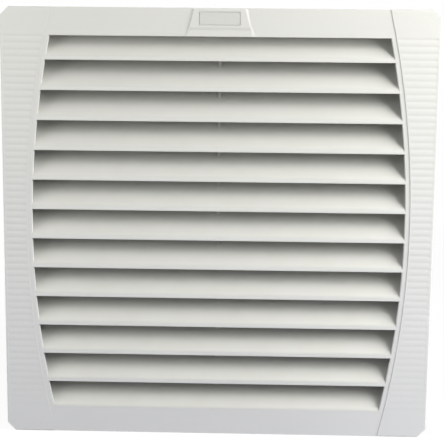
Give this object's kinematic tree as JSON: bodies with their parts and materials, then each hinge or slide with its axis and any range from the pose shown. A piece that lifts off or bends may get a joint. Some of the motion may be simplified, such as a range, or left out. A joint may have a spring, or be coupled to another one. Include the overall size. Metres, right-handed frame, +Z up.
{
  "type": "cabinet filter fan",
  "caption": "Square panel-mounted filter fan: fold-down louvred cover with ribbed wings, filter mat, snap-in housing and an axial fan behind a guard.",
  "frame": {"origin": "middle of the panel cut-out on the flange's rear face, where the panel's front lies", "axes": "+Y into the cabinet, -Y is the louvred front, +Z up, +X to the right seen from the front"},
  "size_m": [0.323, 0.1438, 0.323],
  "materials": {
    "cover_grey": "fine satin grain",
    "badge_grey": "smooth satin",
    "housing_grey": "fine satin grain",
    "gasket_foam": "closed-cell foam",
    "filter_fleece": "loose fibre fleece",
    "spring_steel": "rolled strip",
    "guard_black": "satin",
    "screw_zinc": "zinc plated",
    "cast_aluminium": "die cast",
    "lamination_steel": "stacked sheet",
    "copper_coil": "enamelled wire",
    "bearing_steel": "ground",
    "rotor_black": "black paint",
    "cage_aluminium": "cast",
    "shaft_steel": "ground",
    "lead_black": "matt sheath",
    "core_insulation": "smooth",
    "terminal_white": "smooth"
  },
  "bodies": {
    "housing": {"base_housing": "housing_grey", "panel_gasket": "gasket_foam", "filter_mat": "filter_fleece", "filter_grid": "housing_grey", "fan_shroud": "housing_grey", "shroud_screws": "screw_zinc", "fan_guard": "guard_black", "guard_screws": "screw_zinc", "motor_flange": "cast_aluminium", "motor_screws": "screw_zinc", "stator_core": "lamination_steel", "stator_windings": "copper_coil", "front_bearing": "bearing_steel", "rear_bearing": "bearing_steel", "motor_lead": "lead_black", "lead_cores": "core_insulation", "terminal_block": "terminal_white", "terminal_screws": "screw_zinc"},
    "cover": {"front_cover": "cover_grey", "badge_plate": "badge_grey"},
    "rotor": {"rotor_can": "rotor_black", "rotor_cage": "cage_aluminium", "rotor_shaft": "shaft_steel", "shaft_circlip": "shaft_steel", "fan_blades": "rotor_black"},
    "clip_left_upper": {"clip_left_upper": "spring_steel"},
    "clip_left_lower": {"clip_left_lower": "spring_steel"},
    "clip_right_upper": {"clip_right_upper": "spring_steel"},
    "clip_right_lower": {"clip_right_lower": "spring_steel"}
  },
  "joints": [
    {"name": "cover_fold", "type": "hinge", "parent": "housing", "child": "cover", "pos_m": [0, -0.0063, -0.1585], "axis": [1, 0, 0], "range_deg": [0, 75]},
    {"name": "fan_spin", "type": "hinge", "parent": "housing", "child": "rotor", "pos_m": [0, 0.0787, 0], "axis": [0, 1, 0], "continuous": true},
    {"name": "clip_left_upper_press", "type": "hinge", "parent": "housing", "child": "clip_left_upper", "pos_m": [-0.1436, 0.031, 0.08], "axis": [0, 0, 1], "range_deg": [0, 7], "stiffness_Nm_per_rad": 0.6},
    {"name": "clip_left_lower_press", "type": "hinge", "parent": "housing", "child": "clip_left_lower", "pos_m": [-0.1436, 0.031, -0.08], "axis": [0, 0, 1], "range_deg": [0, 7], "stiffness_Nm_per_rad": 0.6},
    {"name": "clip_right_upper_press", "type": "hinge", "parent": "housing", "child": "clip_right_upper", "pos_m": [0.1436, 0.031, 0.08], "axis": [0, 0, -1], "range_deg": [0, 7], "stiffness_Nm_per_rad": 0.6},
    {"name": "clip_right_lower_press", "type": "hinge", "parent": "housing", "child": "clip_right_lower", "pos_m": [0.1436, 0.031, -0.08], "axis": [0, 0, -1], "range_deg": [0, 7], "stiffness_Nm_per_rad": 0.6}
  ]
}
